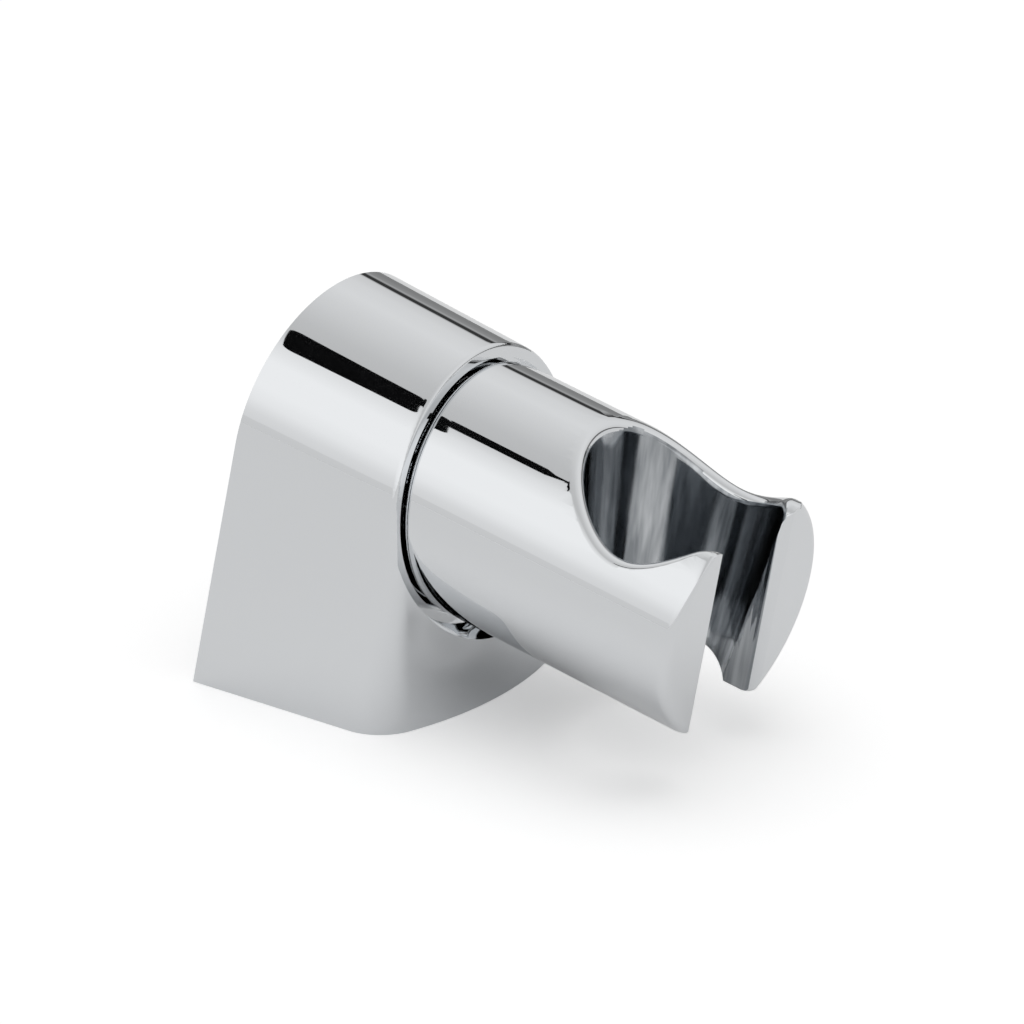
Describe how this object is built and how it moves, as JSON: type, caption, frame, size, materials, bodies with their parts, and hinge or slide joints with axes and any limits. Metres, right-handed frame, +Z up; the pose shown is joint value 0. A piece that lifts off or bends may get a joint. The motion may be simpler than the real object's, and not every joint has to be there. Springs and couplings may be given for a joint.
{
  "type": "hand shower holder",
  "caption": "Polished wall bracket for a hand shower: a hollow arched body with a swivelling round arm whose forked end has a tapered seat for the hose cone.",
  "frame": {"origin": "on the wall face, midway between the two wall screw holes", "axes": "+Z up with the holder standing on its flat foot, +X to the right seen from the front, -Y the way the arm points; the wall face leans forward 10 degrees, so on a vertical wall the part is turned back 10 degrees about X"},
  "size_m": [0.0446, 0.0735, 0.0518],
  "materials": {
    "polished_chrome": "mirror polished plating",
    "cast_zinc": "dull as cast",
    "stainless_steel": "turned",
    "spring_steel": "dark oiled",
    "acetal": "satin white",
    "rubber": "matte black",
    "nylon": "satin"
  },
  "bodies": {
    "bracket": {"body_shell": "polished_chrome", "wall_plate": "cast_zinc", "grub_screw": "stainless_steel", "bearing_bush": "acetal", "o_ring": "rubber", "front_thrust_ring": "acetal", "rear_thrust_ring": "acetal", "stop_pin": "stainless_steel"},
    "arm": {"swivel_arm": "polished_chrome", "pivot_spindle": "stainless_steel", "key_washer": "stainless_steel", "disc_spring_front": "spring_steel", "disc_spring_rear": "spring_steel", "plain_washer": "stainless_steel", "lock_nut": "stainless_steel", "nut_ring": "nylon"}
  },
  "joints": [
    {"name": "arm_swivel", "type": "hinge", "parent": "bracket", "child": "arm", "pos_m": [0, -0.02683, 0.00471], "axis": [0, -1, 0], "range_deg": [-90, 90]}
  ]
}
